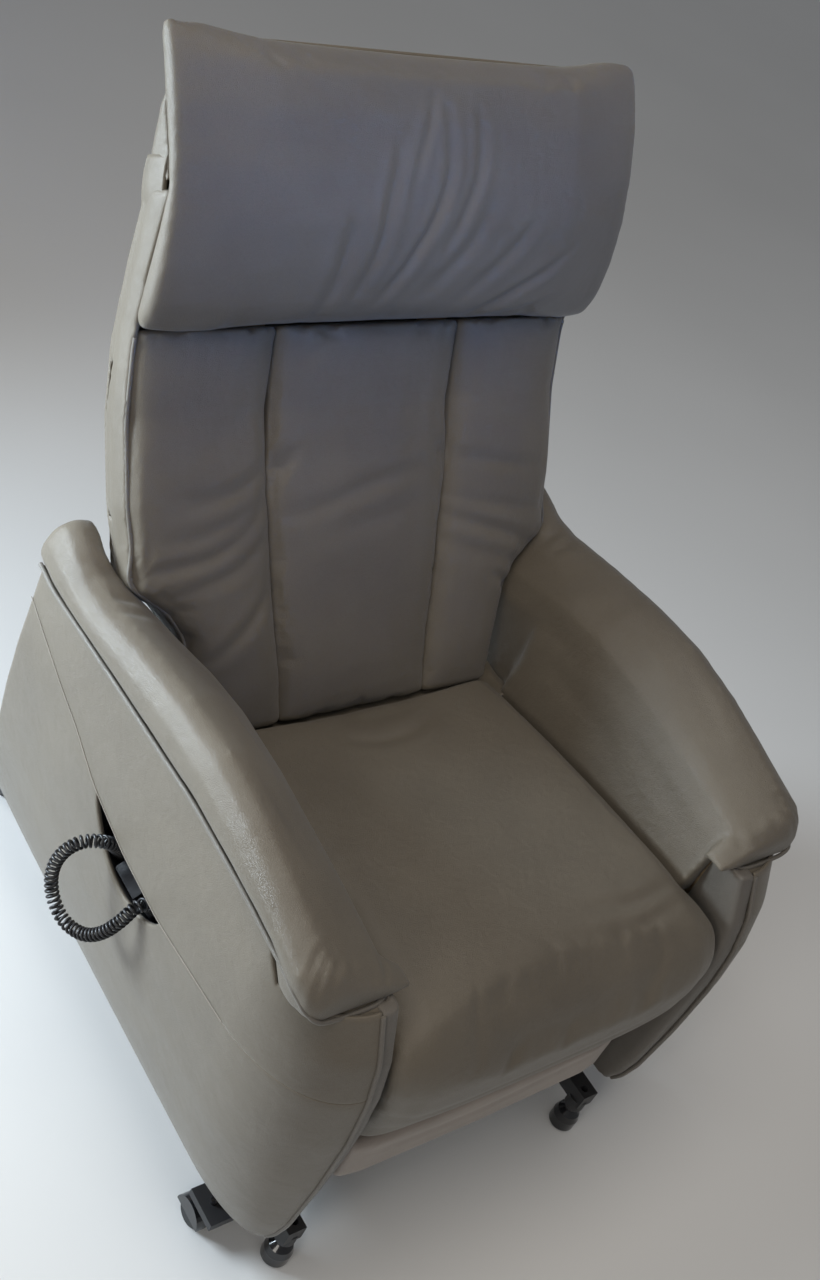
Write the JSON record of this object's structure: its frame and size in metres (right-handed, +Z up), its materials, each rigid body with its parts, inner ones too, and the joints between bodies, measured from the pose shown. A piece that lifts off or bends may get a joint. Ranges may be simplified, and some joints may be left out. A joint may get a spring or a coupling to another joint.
{
  "type": "lift recliner chair",
  "caption": "Upholstered riser recliner with lift linkage, reclining back, tilting head cushion, swinging leg rest, sliding foot panel, castors and a corded hand control.",
  "frame": {"origin": "on the floor, in the chair's plane of symmetry, under the middle of its bounding box", "axes": "+Z up, +Y towards the back of the chair, so the sitter faces -Y; +X to the sitter's left, which is the right-hand side seen from the front"},
  "size_m": [0.8352, 0.8553, 1.1831],
  "materials": {
    "leather": "fine grained semi-matt upholstery leather",
    "leather_edge": "fine grained leather bands, welted",
    "foot_fabric": "smooth leathercloth on the foot panel",
    "steel_black": "satin black powder coat",
    "steel_zinc": "zinc plated steel",
    "plastic_black": "fine textured black plastic",
    "plastic_gloss": "glossy moulded black plastic",
    "button_grey": "soft-touch grey buttons",
    "tread": "soft black tread",
    "cord_jacket": "black curly cord jacket",
    "liner_cloth": "black pocket lining",
    "board": "birch ply and beech rails"
  },
  "bodies": {
    "base": {"floor_frame": "steel_black", "lift_brackets": "steel_black", "front_feet": "plastic_gloss", "rear_feet": "plastic_gloss", "base_pins": "steel_zinc"},
    "castor_fl": {"castor_housing_fl": "plastic_gloss"},
    "castor_fr": {"castor_housing_fr": "plastic_gloss"},
    "castor_rl": {"castor_housing_rl": "plastic_gloss"},
    "castor_rr": {"castor_housing_rr": "plastic_gloss"},
    "wheels_fl": {"castor_wheels_fl": "tread"},
    "wheels_fr": {"castor_wheels_fr": "tread"},
    "wheels_rl": {"castor_wheels_rl": "tread"},
    "wheels_rr": {"castor_wheels_rr": "tread"},
    "lift_arms": {"lift_arms": "steel_zinc"},
    "lift_links": {"lift_links": "steel_zinc"},
    "lift_motor": {"lift_motor": "plastic_black"},
    "lift_rod": {"lift_rod": "steel_zinc"},
    "seat": {"chassis": "steel_black", "chassis_pins": "steel_zinc", "seat_frame": "board", "seat_springs": "steel_zinc", "seat_cushion": "leather", "knee_bend_pad": "leather", "arm_frame_left": "board", "arm_frame_right": "board", "arm_pad_left": "leather", "arm_pad_right": "leather", "side_upper_left": "leather", "side_upper_right": "leather", "side_lower_left": "leather", "side_lower_right": "leather", "front_border_left": "leather_edge", "front_border_right": "leather_edge", "pocket_liner": "liner_cloth", "handset_cord": "cord_jacket", "cord_glands": "plastic_black", "control_box": "plastic_black", "power_inlet": "steel_black"},
    "back_motor": {"back_motor": "plastic_black"},
    "back_rod": {"back_rod": "steel_zinc"},
    "leg_motor": {"leg_motor": "plastic_black"},
    "leg_rod": {"leg_rod": "steel_zinc"},
    "leg_rest": {"leg_board": "steel_black", "leg_pad": "leather"},
    "foot_panel": {"foot_plate": "steel_black", "foot_pad": "foot_fabric"},
    "back": {"back_frame": "board", "back_centre_pad": "leather", "back_left_pad": "leather", "back_right_pad": "leather", "back_cover": "leather"},
    "head": {"head_frame": "steel_black", "head_cushion": "leather", "head_cover": "leather"},
    "handset": {"handset_housing": "plastic_gloss"},
    "button_head_up": {"button_head_up": "button_grey"},
    "button_head_down": {"button_head_down": "button_grey"},
    "button_lift_up": {"button_lift_up": "button_grey"},
    "button_lift_down": {"button_lift_down": "button_grey"}
  },
  "joints": [
    {"name": "lift", "type": "hinge", "parent": "base", "child": "lift_arms", "pos_m": [0, 0.325, 0.12], "axis": [-1, 0, 0], "range_deg": [0, 28]},
    {"name": "chassis_hinge", "type": "hinge", "parent": "lift_arms", "child": "seat", "pos_m": [0, -0.145, 0.15], "axis": [1, 0, 0], "range_deg": [0, 47.6]},
    {"name": "link_hinge", "type": "hinge", "parent": "base", "child": "lift_links", "pos_m": [0, 0.077, 0.139], "axis": [-1, 0, 0], "range_deg": [0, 35.13]},
    {"name": "lift_motor_hinge", "type": "hinge", "parent": "base", "child": "lift_motor", "pos_m": [0, -0.255, 0.104], "axis": [1, 0, 0], "range_deg": [0, 5.4]},
    {"name": "lift_rod_slide", "type": "slide", "parent": "lift_motor", "child": "lift_rod", "axis": [0, 0.9559, 0.2938], "range_m": [0, 0.0879]},
    {"name": "recline", "type": "hinge", "parent": "seat", "child": "back", "pos_m": [0, 0.105, 0.4], "axis": [-1, 0, 0], "range_deg": [0, 18]},
    {"name": "back_motor_hinge", "type": "hinge", "parent": "seat", "child": "back_motor", "pos_m": [0.09, -0.175, 0.29], "axis": [1, 0, 0], "range_deg": [0, 1.6]},
    {"name": "back_rod_slide", "type": "slide", "parent": "back_motor", "child": "back_rod", "axis": [0, 0.9943, 0.1065], "range_m": [-0.0241, 0]},
    {"name": "head_tilt", "type": "hinge", "parent": "back", "child": "head", "pos_m": [0, 0.38, 1.022], "axis": [-1, 0, 0], "range_deg": [0, 14]},
    {"name": "leg_rest_swing", "type": "hinge", "parent": "seat", "child": "leg_rest", "pos_m": [0, -0.365, 0.412], "axis": [-1, 0, 0], "range_deg": [0, 80], "deforming": ["knee_bend_pad"]},
    {"name": "foot_panel_slide", "type": "slide", "parent": "leg_rest", "child": "foot_panel", "axis": [0, 0, -1], "range_m": [0, 0.09]},
    {"name": "leg_motor_hinge", "type": "hinge", "parent": "seat", "child": "leg_motor", "pos_m": [-0.09, -0.035, 0.262], "axis": [-1, 0, 0], "range_deg": [0, 5.01]},
    {"name": "leg_rod_slide", "type": "slide", "parent": "leg_motor", "child": "leg_rod", "axis": [0, -0.9925, 0.1224], "range_m": [0, 0.1409]},
    {"name": "handset_slide", "type": "slide", "parent": "seat", "child": "handset", "axis": [-0.6157, 0, 0.788], "range_m": [0, 0.11]},
    {"name": "press_head_up", "type": "slide", "parent": "handset", "child": "button_head_up", "axis": [0.788, 0, 0.6157], "range_m": [0, 0.001], "stiffness_N_per_m": 800},
    {"name": "press_head_down", "type": "slide", "parent": "handset", "child": "button_head_down", "axis": [0.788, 0, 0.6157], "range_m": [0, 0.001], "stiffness_N_per_m": 800},
    {"name": "press_lift_up", "type": "slide", "parent": "handset", "child": "button_lift_up", "axis": [0.788, 0, 0.6157], "range_m": [0, 0.001], "stiffness_N_per_m": 800},
    {"name": "press_lift_down", "type": "slide", "parent": "handset", "child": "button_lift_down", "axis": [0.788, 0, 0.6157], "range_m": [0, 0.001], "stiffness_N_per_m": 800},
    {"name": "swivel_fl", "type": "hinge", "parent": "base", "child": "castor_fl", "pos_m": [-0.312, -0.319, 0], "axis": [0, 0, 1], "continuous": true},
    {"name": "roll_fl", "type": "hinge", "parent": "castor_fl", "child": "wheels_fl", "pos_m": [-0.312, -0.305, 0.02], "axis": [1, 0, 0], "continuous": true},
    {"name": "swivel_fr", "type": "hinge", "parent": "base", "child": "castor_fr", "pos_m": [0.312, -0.319, 0], "axis": [0, 0, 1], "continuous": true},
    {"name": "roll_fr", "type": "hinge", "parent": "castor_fr", "child": "wheels_fr", "pos_m": [0.312, -0.305, 0.02], "axis": [1, 0, 0], "continuous": true},
    {"name": "swivel_rl", "type": "hinge", "parent": "base", "child": "castor_rl", "pos_m": [-0.268, 0.381, 0], "axis": [0, 0, 1], "continuous": true},
    {"name": "roll_rl", "type": "hinge", "parent": "castor_rl", "child": "wheels_rl", "pos_m": [-0.268, 0.395, 0.02], "axis": [1, 0, 0], "continuous": true},
    {"name": "swivel_rr", "type": "hinge", "parent": "base", "child": "castor_rr", "pos_m": [0.268, 0.381, 0], "axis": [0, 0, 1], "continuous": true},
    {"name": "roll_rr", "type": "hinge", "parent": "castor_rr", "child": "wheels_rr", "pos_m": [0.268, 0.395, 0.02], "axis": [1, 0, 0], "continuous": true}
  ],
  "couplings": [
    {"joint": "chassis_hinge", "follows": "lift", "ratio": 1.7},
    {"joint": "link_hinge", "follows": "lift", "ratio": 1.2546},
    {"joint": "lift_motor_hinge", "follows": "lift", "ratio": 0.18993},
    {"joint": "lift_rod_slide", "follows": "lift", "m_per_rad": 0.17968},
    {"joint": "back_motor_hinge", "follows": "recline", "ratio": 0.08619},
    {"joint": "back_rod_slide", "follows": "recline", "m_per_rad": -0.07591},
    {"joint": "foot_panel_slide", "follows": "leg_rest_swing", "m_per_rad": 0.0644},
    {"joint": "leg_motor_hinge", "follows": "leg_rest_swing", "ratio": 0.0625},
    {"joint": "leg_rod_slide", "follows": "leg_rest_swing", "m_per_rad": 0.10084}
  ]
}
